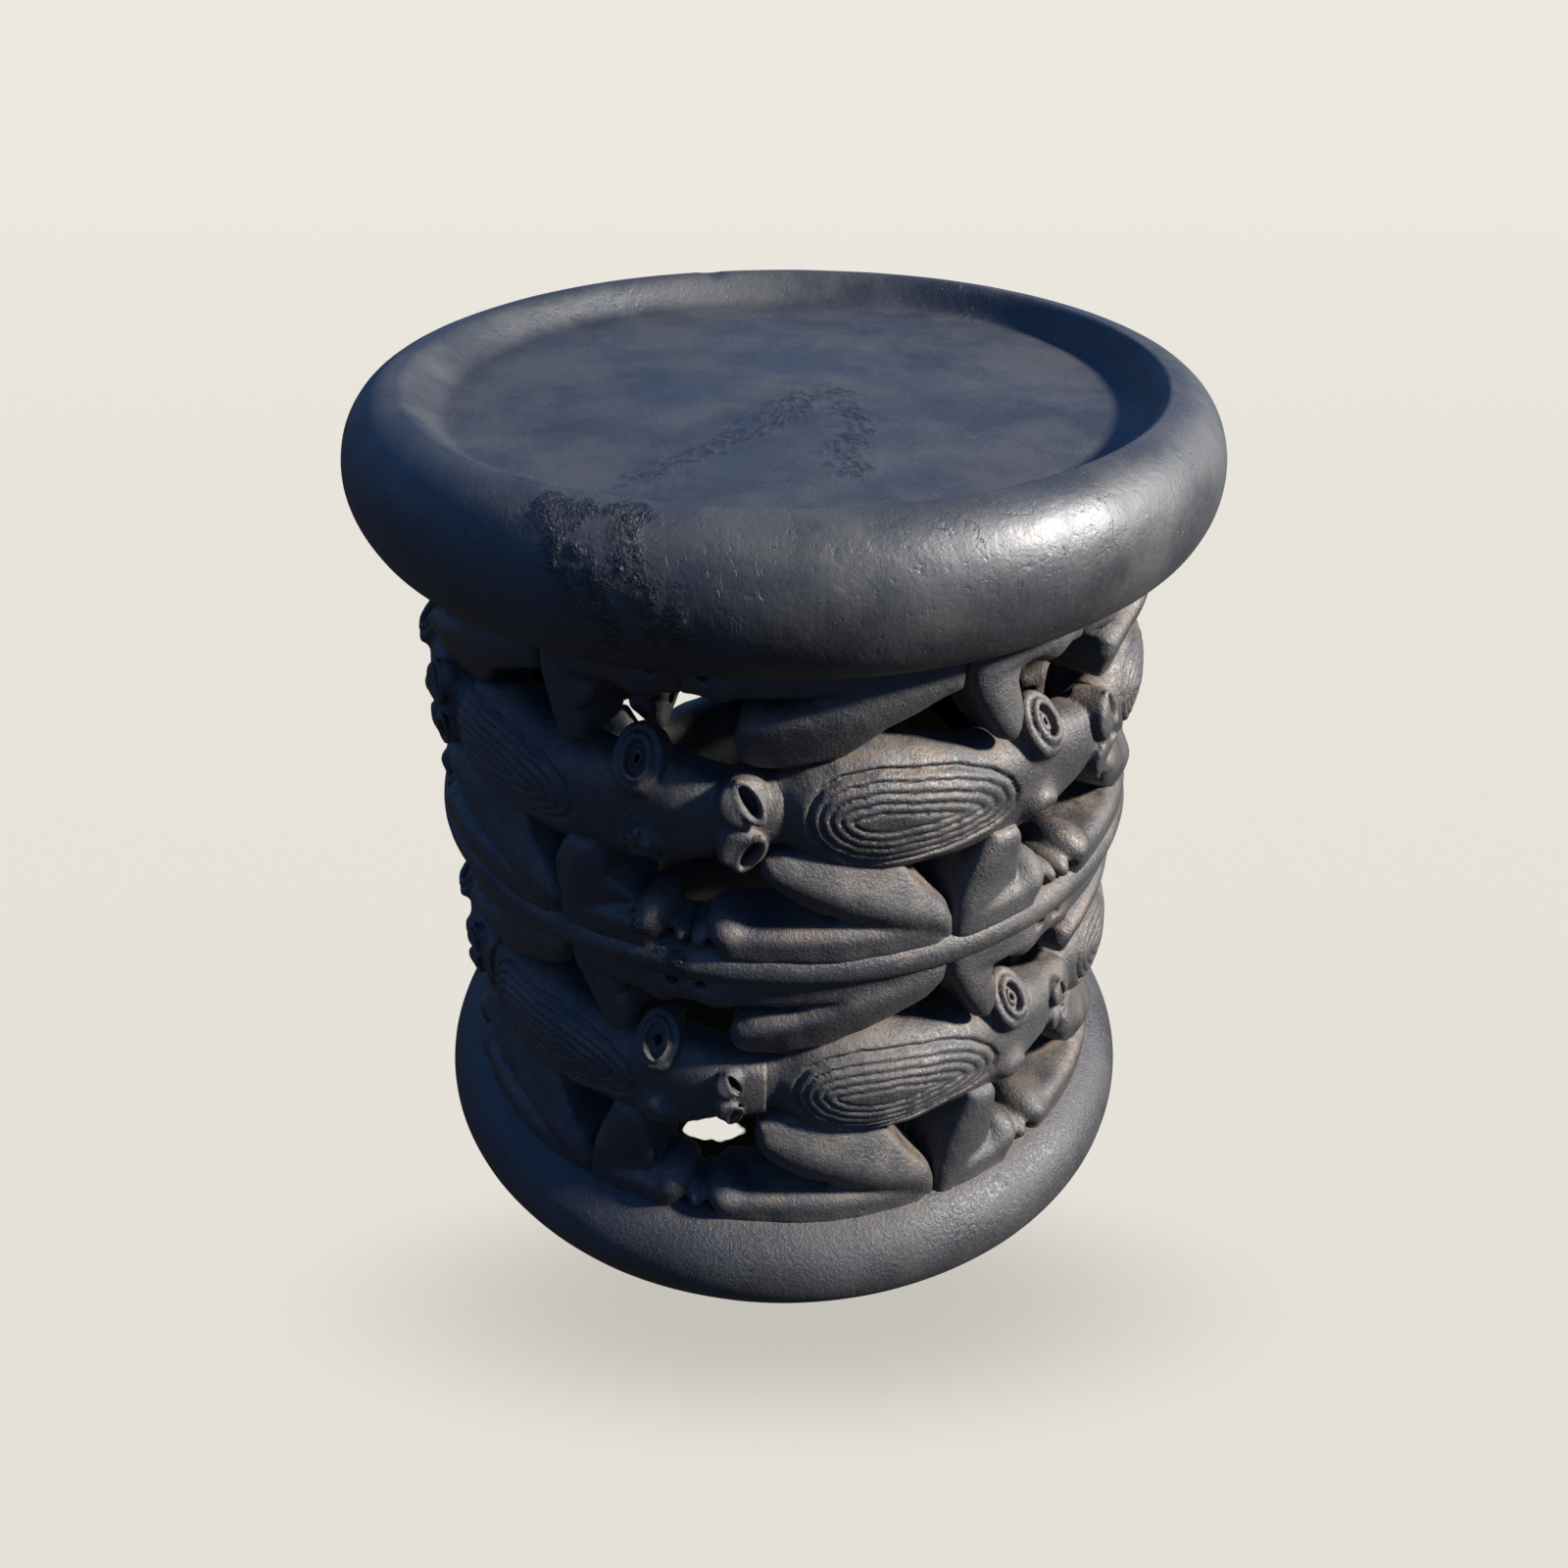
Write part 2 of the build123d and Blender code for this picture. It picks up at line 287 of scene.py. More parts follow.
def body_form(animal, carving, u, v, w):
    """Trunk with its shield, neck, head with eyes, and snout with nostrils."""
    degree = animal.degree
    share = u / degree - animal.later
    upper = flowing(share, [(-4, 16), (0, 19), (3, 25), (7, 30), (13, 33), (18, 31.5), (22, 29.5),
                            (27, 26), (31, 24), (36, 23.5), (43, 24.5), (49, 20.5), (54, 18), (60, 17)])
    lower = flowing(share, [(-4, 16), (0, 19), (3, 26), (8, 33), (13, 35.5), (20, 36.5), (27, 36.5),
                            (33, 36), (39, 35), (43, 33), (47, 27), (51, 21.5), (60, 17)])
    half = np.where(v > 0, upper, lower)
    proud = flowing(share, [(-1, -9), (3, -4), (12, -0.5), (22, -0.5), (33, -4), (42, -4), (54, -5),
                            (60, -8)])
    depth = flowing(share, [(-1, 13), (3, 18), (13, 23.5), (25, 22), (33, 18.5), (43, 18), (60, 13)])
    power = flowing(share, [(0, 2.2), (30, 2.2), (45, 2.6), (60, 2.5)])
    size = ((np.abs(v) / half) ** power + (np.abs(w - proud + depth) / depth) ** power) ** (1 / power)
    form = (size - 1) * np.minimum(half, depth)
    form = np.maximum(form, np.maximum(-1.2 * degree - u, u - 60.3 * degree))

    # Shield: nested ovals, each at an even distance inside the outer one
    middle = 18.8 + animal.later + animal.stretch
    longer = 1.1 if animal.tier == "lower" else 1.0

    def shortened(along):
        start = (middle - 6) * degree
        return np.where(along > start, start + (along - start) * 0.68, along)

    oval = [(shortened((middle + (angle - 18.8) * longer) * degree), rise) for angle, rise in SHIELD]
    inward = -outline_distance(shortened(u[:, :, :1]), v[:, :, :1], oval, 0.0)
    inward = inward + unevenness(u[:, :, :1], v[:, :, :1], 0 * u[:, :, :1], 22, animal.seed + 11) * 0.7
    outer_face = 1 / (1 + np.exp(-(w - proud + depth * 0.9) / 1.5))
    grooves = 0
    for groove in range(carving.groove_count):
        width, deep = (1.1, 1.5) if groove == 0 else (0.75, 0.95)
        grooves = grooves + deep * np.exp(-(((inward - groove * carving.groove_spacing / MM) / width) ** 2))
    form = form + carving.groove_depth / MM * grooves * outer_face

    # Eyes as upright oval knobs with a raised loop and a ringed pupil, on the head's edges
    eye_half = carving.eye_diameter / MM / 2
    for side in (1, -1):
        mirrored = v * side
        off_axis, gaze = (21.0, 36) if side > 0 else (17.0, 50)
        eye = ((39.4 + animal.later) * degree + animal.vary(1), off_axis + animal.vary(0.8), -17)
        tilt = math.radians(gaze)
        across, rise, out = facing(u, mirrored, w, eye, tilt, math.radians(6))
        top = 13.0 if side > 0 else 11.5
        stalk = rounded(np.hypot(across, rise / 1.3) - eye_half, out - top, 4.0)
        form = join(form, np.maximum(stalk, -out - 8), 3.5)
        form = cut(form, ring_form(across, rise, out, (9.4, 13.2), 1.3, top + 0.1), 0.8)
        form = join(form, ring_form(across, rise, out, (6.6, 10.0), 2.1, top - 0.1), 1.0)
        socket = np.maximum(np.hypot(across / 4.8, rise / 8.2) - 1, (top - 3.2 - out) / 4) * 4
        form = cut(form, socket, 0.8)
        pupil = np.maximum(np.hypot(across / 2.7, rise / 4.6) - 1, (out - top + 0.6) / 3) * 3
        form = join(form, pupil, 0.8)
        form = cut(form, np.hypot(across / 1.3, rise / 2.4) * 1.6 - 1.6, 0.4)

    # Snout that flares into two slanting nostrils with raised lips, worn down in the lower tier
    flare = 1.0 if animal.tier == "upper" else 0.66
    centre = (54.6 * degree, 11.4 * flare, -13)
    sides = [facing(u, v * side, w, centre, math.radians(12), math.radians(10)) for side in (1, -1)]
    block = 1e3
    for across, rise, out in sides:
        away = np.hypot((across + 1.5) / 1.05, rise / 1.02 - 0.1 * across)
        lump = rounded(away - 12.2 * flare, out - 11.0 + 0.16 * across, 4.0)
        block = join(block, np.maximum(lump, -out - 9), 5.0)
    form = join(form, block, 0.8)
    slant = math.radians(27)
    for across, rise, out in sides:
        across, rise = (across * math.cos(slant) + rise * math.sin(slant),
                        rise * math.cos(slant) - across * math.sin(slant))
        lip = ring_form(across - 1.5, rise, out, (5.0 * flare, 10.6 * flare), 1.9 * flare, 10.6)
        form = join(form, lip, 1.2)
        slot = np.hypot((across - 1.5) / (2.6 * flare), rise / (8.4 * flare)) - 1
        form = cut(form, np.maximum(slot, (2 - out) / 3) * 3, 0.7)
    return -join(-form, -(w - 0.8), 1.5)


def leg_arch(u, v, centre, ring):
    """The little arch under a paw, where the knife went through."""
    return np.hypot(u - centre, (v - ring + 2.5) * 1.15) - 3.4


def hind_form(animal, u, v, w, ring, hanging):
    """Thigh from the hip to the knee, shin back along the ring and a curled foot."""
    shift = animal.vary(0.8)
    knee, shin_height = leg_sizes(animal, hanging)

    def place(angle, height):
        if animal.tier == "lower":
            angle = 26 + (angle - 25.4) * 1.07
        return (angle + animal.later) * animal.degree, height

    if hanging:
        outline = [place(-5.9, ring - 37 + shift), place(-5.2, 34 + shift), place(-3.4, 30.5),
                   place(0, 29.5), place(8, 34), place(13.6, ring - 32), place(17.6, ring - 26),
                   place(21.6, ring - 20), place(23.8, ring - knee + 4), place(24.4, ring + 2),
                   place(12, ring + 2), place(8, ring - 15), place(3.5, ring - 22), place(0, ring - 24),
                   place(-3.4, ring - 26), place(-5.3, ring - 30)]
        ridge = (place(-4, ring - 28), place(24.4, ring - knee / 2), 0.42)
    else:
        scale = ring / 75.5
        heights = [(-2.6, 28), (-1.3, 35), (0.7, 40.5), (3.1, 46.5), (5.6, 51), (8.2, 54)]
        outline = [place(angle, height * scale + shift) for angle, height in heights]
        outline += [place(12, ring + 2), place(24.4, ring + 2), place(24.3, ring - 8)]
        heights = [(23.5, 60), (21.3, 53.6), (19.3, 46.6), (17.6, 39.6), (16.2, 32.6), (15, 27)]
        outline += [place(angle, height * scale) for angle, height in heights]
        outline += [place(12.5, 22), place(0, 20), place(-2.2, 22)]
        ridge = (place(-1.5, 27 * scale), place(24.4, ring - knee / 2 - 2), 0.5)
    thigh = relief(u, v, w, outline, 3.2, -1.2, 46, 10, ridge)
    end = -13.0 if hanging else -9.0
    bar = [place(end, ring - shin_height + 4), place(12, ring - shin_height + 4), place(23, ring - knee + 4),
           place(23, ring + 4), place(end, ring + 4)]
    shin = relief(u, v, w, bar, 4.0, -3.5, 42, 8)
    foot = knob(u, v, w, (place(-8.4, 0)[0], ring - 9, -21), (13, 12.5, 18.5))
    toes = knob(u, v, w, (place(-12.2, 0)[0], ring - 4, -22), (7.5, 11 if hanging else 8, 17.5))
    form = join(thigh, join(join(shin, foot, 5.0), toes, 3.0), 1.2)
    form = cut(form, leg_arch(u, v, place(-10.4, 0)[0], ring), 1.2)
    if hanging and (animal.tier, animal.number) in BLIND:
        form = np.minimum(form, web_form(animal, u, v, w, ring))
    return np.maximum(form, u - place(25.3, 0)[0])


def fore_form(animal, u, v, w, ring, hanging):
    """Upper arm from the shoulder to the elbow, forearm on along the ring and a curled hand."""
    shift = animal.vary(0.8)
    knee, shin_height = leg_sizes(animal, hanging)

    def place(angle, height):
        if animal.tier == "lower":
            angle += 0.6
        return (angle + animal.later) * animal.degree, height

    back = 0.6 * animal.stretch
    if hanging:
        outline = [place(25.9, ring - knee + 3), place(28.6 + back / 2, ring - knee - 14),
                   place(31.5 + back, 31), place(33 + back, 28.8 + shift), place(34 + back, 33),
                   place(34.3 + back, 40), place(33.8 + back, 48), place(33, ring - 24),
                   place(33.8, ring - 12), place(33.5, ring + 2), place(25.7, ring + 2)]
        ridge = (place(26.5, ring - knee / 2), place(33 + back, 30), 0.3)
    else:
        outline = [place(26.2, ring - 14), place(27 + back / 2, 0.72 * ring), place(28.4 + back, 0.58 * ring),
                   place(30 + back, 0.44 * ring), place(31.4 + back, 27), place(35 + back, 27),
                   place(35.9 + back, 32), place(36.2 + back, 0.6 * ring), place(36.4, ring - 18),
                   place(34, ring + 2), place(25.7, ring + 2)]
        ridge = (place(26.2, ring - knee / 2), place(34 + back, 28 + shift), 0.3)
    upper_arm = relief(u, v, w, outline, 3.2, -2.0, 44, 9, ridge)
    end = 45.5 if hanging else 40.0
    bar = [place(26.5, ring - knee + 4), place(34, ring - shin_height + 4),
           place(end, ring - shin_height + 4), place(end, ring + 4), place(26.5, ring + 4)]
    forearm = relief(u, v, w, bar, 4.0, -3.5, 41, 8)
    hand = knob(u, v, w, (place(40.4, 0)[0], ring - 10, -21), (13, 15.5 if hanging else 14, 18))
    fingers = knob(u, v, w, (place(44.8, 0)[0], ring - 4, -21), (6.5, 8, 16.5))
    form = join(upper_arm, join(join(forearm, hand, 5.0), fingers, 3.0), 2.0)
    form = cut(form, leg_arch(u, v, place(42.8, 0)[0], ring), 1.2)
    if hanging and (animal.tier, animal.number) in BLIND:
        form = np.minimum(form, web_form(animal, u, v, w, ring))
    return np.maximum(form, place(24.7, 0)[0] - u)


def web_form(animal, u, v, w, ring):
    """Thin web of wood at the back of the wall between a knee and an elbow."""
    left, right = [(angle + animal.later) * animal.degree for angle in (14, 34)]
    outline = [(left, 28), (right, 25), (right, ring + 2), (left, ring + 2)]
    return relief(u, v, w, outline, 0.0, -33.0, 11, 2.0)


def leg_sizes(animal, hanging):
    """Thickness of a knee, which is stoutest under the seat, and of a shin."""
    if hanging:
        return (22.0 if animal.tier == "upper" else 14.0), 17.0
    return 13.0, 14.5


def both_sides(animal, form, u, v, w):
    """A leg that hangs from the ring above and one that stands on the ring below."""
    above = form(animal, u, v, w, animal.up, True)
    below = form(animal, u, -v, w, animal.down, False)
    return np.minimum(above, below)


# ------------------------------------------------------------------ surfaces from forms
def surface_net(field, axes):
    """Points and four-sided faces on the zero surface of a field of samples."""
    inside = field < 0
    corners = [(a, b, c) for a in (0, 1) for b in (0, 1) for c in (0, 1)]
    shape = [n - 1 for n in field.shape]
    count = np.zeros(shape, np.int8)
    for a, b, c in corners:
        count += inside[a:a + shape[0], b:b + shape[1], c:c + shape[2]]
    mixed = np.argwhere((count > 0) & (count < 8))
    number = np.full(shape, -1, np.int64)
    number[tuple(mixed.T)] = np.arange(len(mixed))
    total = np.zeros((len(mixed), 3))
    crossings = np.zeros(len(mixed))
    for axis in range(3):
        for corner in corners:
            if corner[axis]:
                continue
            start = mixed + corner
            end = start.copy()
            end[:, axis] += 1
            f0, f1 = field[tuple(start.T)], field[tuple(end.T)]
            crossed = (f0 < 0) != (f1 < 0)
            share = f0[crossed] / (f0[crossed] - f1[crossed])
            place = start[crossed].astype(float)
            place[:, axis] += share
            total[crossed] += place
            crossings[crossed] += 1
    steps = total / crossings[:, None]
    points = np.stack([np.interp(steps[:, k], np.arange(len(axes[k])), axes[k]) for k in range(3)], axis=1)
    faces = []
    for axis in range(3):
        one, two = (axis + 1) % 3, (axis + 2) % 3
        span = [slice(None)] * 3
        span[axis] = slice(0, -1)
        ahead = [slice(None)] * 3
        ahead[axis] = slice(1, None)
        first, second = inside[tuple(span)], inside[tuple(ahead)]
        for entering in (True, False):
            edges = np.argwhere((first & ~second) if entering else (~first & second))
            keep = np.all((edges[:, [one, two]] > 0), axis=1)
            keep &= (edges[:, one] < field.shape[one] - 1) & (edges[:, two] < field.shape[two] - 1)
            edges = edges[keep]
            quad = []
            for back_one, back_two in ((1, 1), (0, 1), (0, 0), (1, 0)):
                cell = edges.copy()
                cell[:, one] -= back_one
                cell[:, two] -= back_two
                quad.append(number[tuple(cell.T)])
            quad = np.stack(quad, axis=1)
            faces.append(quad if entering else quad[:, ::-1])
    return points, np.concatenate(faces)


def carve(animal, form, span_u, span_v, span_w, step):
    """Sample a form on a grid in wall space and wrap its surface round the drum."""
    axes = [np.arange(a, b + step, step, dtype=np.float32) for a, b in (span_u, span_v)]
    back, face = span_w
    near = np.arange(face, FINE_TO, -step)
    axes.append(np.concatenate([np.arange(back, FINE_TO - step, 2.4 * step), near[::-1]]).astype(np.float32))
    u, v, w = np.meshgrid(*axes, indexing="ij")
    field = form(u, v, w)
    seed = animal.seed
    field = field + 0.7 * unevenness(u, v, w, 26, seed + 1) + 0.28 * unevenness(u, v, w, 9, seed + 2)
    cuts = np.abs(unevenness(u, v, w, 13, seed + 3))
    field = field + 0.35 * (0.5 - cuts)
    points, faces = surface_net(field, axes)
    angle = np.radians(animal.angle) + points[:, 0] / animal.radius
    radius = animal.radius + points[:, 2]
    height = animal.height + points[:, 1]
    places = np.stack([radius * np.sin(angle), -radius * np.cos(angle), height], axis=1) * MM
    return places, faces


def new_piece(name, places, faces):
    """A smooth-shaded mesh object at the origin."""
    mesh = bpy.data.meshes.new(name)
    mesh.vertices.add(len(places))
    mesh.vertices.foreach_set("co", np.asarray(places, np.float32).ravel())
    mesh.loops.add(faces.size)
    mesh.loops.foreach_set("vertex_index", faces.ravel().astype(np.int32))
    mesh.polygons.add(len(faces))
    mesh.polygons.foreach_set("loop_start", np.arange(0, faces.size, faces.shape[1], dtype=np.int32))
    mesh.update(calc_edges=True)
    mesh.validate()
    mesh.polygons.foreach_set("use_smooth", [True] * len(mesh.polygons))
    piece = bpy.data.objects.new(name, mesh)
    bpy.context.collection.objects.link(piece)
    return piece


def along_path(places, path):
    """Distance from each place to a path of straight stretches."""
    nearest = np.full(len(places), 1e9)
    for start, end in zip(np.array(path[:-1], float), np.array(path[1:], float)):
        way = end - start
        share = np.clip((places - start) @ way / (way @ way), 0, 1)
        nearest = np.minimum(nearest, np.linalg.norm(places - start - share[:, None] * way, axis=1))
    return nearest


def weather(piece):
    """Raise the burnt crust, sink the chips and keep the crust's amount for the material."""
    mesh = piece.data
    places = np.empty(len(mesh.vertices) * 3, np.float32)
    mesh.vertices.foreach_get("co", places)
    places = places.reshape(-1, 3) / MM
    normals = np.empty(len(mesh.vertices) * 3, np.float32)
    mesh.vertex_normals.foreach_get("vector", normals)
    patchy = unevenness(places[:, 0], places[:, 1], places[:, 2] * 0.45, 6, 21)
    amount = np.zeros(len(places))
    for path, reach, strength in CRUST:
        away = along_path(places, path) / reach + 0.6 * patchy
        amount = np.maximum(amount, strength * np.clip(1.5 - 1.5 * away, 0, 1))
    lumps = unevenness(*places.T, 2.6, 22) + 0.7 * unevenness(*places.T, 1.7, 23)
    lift = amount * np.clip(lumps + 0.4, -0.1, 1.1) * 0.8
    for centre, reach, depth in CHIPS:
        lift -= depth * np.clip(1.3 - np.linalg.norm(places - centre, axis=1) / reach, 0, 1)
    places += lift[:, None] * normals.reshape(-1, 3)
    mesh.vertices.foreach_set("co", (places * MM).astype(np.float32).ravel())
    crusted = mesh.attributes.new("crust", "FLOAT", "POINT")
    crusted.data.foreach_set("value", (amount * np.clip(0.6 + 0.6 * lumps, 0, 1)).astype(np.float32))
    mesh.update()


def settle(piece, material, *nodes):
    """Give a finished piece its material and its body, weather it, and hide the nodes that it stands for."""
    if material.name not in piece.data.materials:
        piece.data.materials.append(material)
    weather(piece)
    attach(piece, "root")
    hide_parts(*nodes)


# ------------------------------------------------------------------ lathe by Geometry Nodes
def add_node(tree, kind, inputs=(), **settings):
    """Add a node with its settings, and link or set its inputs by name or number."""
    node = tree.nodes.new(kind)
    for key, value in settings.items():
        setattr(node, key, value)
    for key, value in dict(inputs).items():
        if isinstance(value, bpy.types.NodeSocket):
            tree.links.new(value, node.inputs[key])
        else:
            node.inputs[key].default_value = value
    return node


def lathe_tree():
    """Geometry Nodes that turn a profile's points about Z into a closed round form."""
    tree = bpy.data.node_groups.new("Lathe", "GeometryNodeTree")
    sockets = tree.interface
    sockets.new_socket("Profile", in_out="INPUT", socket_type="NodeSocketGeometry")
    segments = sockets.new_socket("Segments", in_out="INPUT", socket_type="NodeSocketInt")
    segments.default_value = 480
    uneven = sockets.new_socket("Unevenness", in_out="INPUT", socket_type="NodeSocketFloat")
    uneven.default_value = 0.001
    size = sockets.new_socket("Unevenness Size", in_out="INPUT", socket_type="NodeSocketFloat")
    size.default_value = 0.08
    seed = sockets.new_socket("Seed", in_out="INPUT", socket_type="NodeSocketFloat")
    seed.default_value = 0.0
    sockets.new_socket("Material", in_out="INPUT", socket_type="NodeSocketMaterial")
    sockets.new_socket("Geometry", in_out="OUTPUT", socket_type="NodeSocketGeometry")
    group = tree.nodes.new("NodeGroupInput")

    def math_node(operation, a, b=0.0):
        return add_node(tree, "ShaderNodeMath", {0: a, 1: b}, operation=operation).outputs[0]

    points = add_node(tree, "GeometryNodeAttributeDomainSize",
                      {0: group.outputs["Profile"]}).outputs["Point Count"]
    columns = math_node("ADD", group.outputs["Segments"], 1)
    rows = math_node("ADD", points, 1)
    grid = add_node(tree, "GeometryNodeMeshGrid",
                    {"Size X": 1.0, "Size Y": 1.0, "Vertices X": columns, "Vertices Y": rows})
    place = add_node(tree, "ShaderNodeSeparateXYZ",
                     {0: add_node(tree, "GeometryNodeInputPosition").outputs[0]})
    angle = math_node("MULTIPLY", place.outputs[0], 2 * math.pi)
    row = math_node("ROUND", math_node("MULTIPLY", math_node("ADD", place.outputs[1], 0.5), points))
    wrapped = math_node("MODULO", row, points)
    sample = add_node(tree, "GeometryNodeSampleIndex", {"Geometry": group.outputs["Profile"]},
                      data_type="FLOAT_VECTOR", domain="POINT")
    tree.links.new(add_node(tree, "GeometryNodeInputPosition").outputs[0], sample.inputs["Value"])
    tree.links.new(wrapped, sample.inputs["Index"])
    profile = add_node(tree, "ShaderNodeSeparateXYZ", {0: sample.outputs[0]})
    x = math_node("MULTIPLY", profile.outputs[0], math_node("SINE", angle))
    y = math_node("MULTIPLY", profile.outputs[0], math_node("MULTIPLY", math_node("COSINE", angle), -1.0))
    turned = add_node(tree, "ShaderNodeCombineXYZ", {0: x, 1: y, 2: profile.outputs[2]}).outputs[0]
    form = add_node(tree, "GeometryNodeSetPosition", {"Geometry": grid.outputs["Mesh"], "Position": turned})
    closed = add_node(tree, "GeometryNodeMergeByDistance", {"Geometry": form.outputs[0], "Distance": 0.00002})
    here = add_node(tree, "GeometryNodeInputPosition").outputs[0]
    scale = math_node("DIVIDE", 1.0, group.outputs["Unevenness Size"])
    noise = add_node(tree, "ShaderNodeTexNoise",
                     {"Vector": here, "W": group.outputs["Seed"], "Scale": scale, "Detail": 3.0,
                      "Roughness": 0.45}, noise_dimensions="4D")
    amount = math_node("SUBTRACT", noise.outputs["Fac"], 0.5)
    amount = math_node("MULTIPLY", amount, group.outputs["Unevenness"])
    normal = add_node(tree, "GeometryNodeInputNormal").outputs[0]
    offset = add_node(tree, "ShaderNodeVectorMath", {0: normal, "Scale": amount}, operation="SCALE")
    moved = add_node(tree, "GeometryNodeSetPosition",
                     {"Geometry": closed.outputs[0], "Offset": offset.outputs[0]})
    real = add_node(tree, "GeometryNodeRealizeInstances", {0: moved.outputs[0]})
    coat = add_node(tree, "GeometryNodeSetMaterial",
                    {"Geometry": real.outputs[0], "Material": group.outputs["Material"]})
    output = tree.nodes.new("NodeGroupOutput")
    tree.links.new(coat.outputs[0], output.inputs[0])
    return tree


def turned_piece(name, profile, material, **inputs):
    """Turn a profile, given as (radius, height) points in mm, into a plain mesh object."""
    outline = bpy.data.meshes.new(name + "_profile")
    points = [(radius * MM, 0, height * MM) for radius, height in profile]
    outline.from_pydata(points, [(i, i + 1) for i in range(len(points) - 1)], [])
    maker = bpy.data.objects.new(name + "_profile", outline)
    bpy.context.collection.objects.link(maker)
    tree = bpy.data.node_groups.get("Lathe") or lathe_tree()
    modifier = maker.modifiers.new("Lathe", "NODES")
    modifier.node_group = tree
    sockets = {s.name: s.identifier for s in tree.interface.items_tree if s.in_out == "INPUT"}
    for key, value in {"Material": material, **inputs}.items():
        modifier[sockets[key.replace("_", " ")]] = value
    evaluated = maker.evaluated_get(bpy.context.evaluated_depsgraph_get())
    mesh = bpy.data.meshes.new_from_object(evaluated)
    mesh.name = name
    maker.modifiers.clear()
    bpy.data.objects.remove(maker)
    piece = bpy.data.objects.new(name, mesh)
    bpy.context.collection.objects.link(piece)
    mesh.polygons.foreach_set("use_smooth", [True] * len(mesh.polygons))
    return piece


def arc(centre, radii, start, end, count):
    """Points on an elliptic arc, both ends included."""
    angles = np.radians(np.linspace(start, end, count))
    return [(centre[0] + radii[0] * math.cos(a), centre[1] + radii[1] * math.sin(a)) for a in angles]


def straight(start, end, count):
    """Evenly spaced points on a line, without its two ends."""
    return [tuple(np.array(start) + (np.array(end) - start) * i / (count + 1)) for i in range(1, count + 1)]


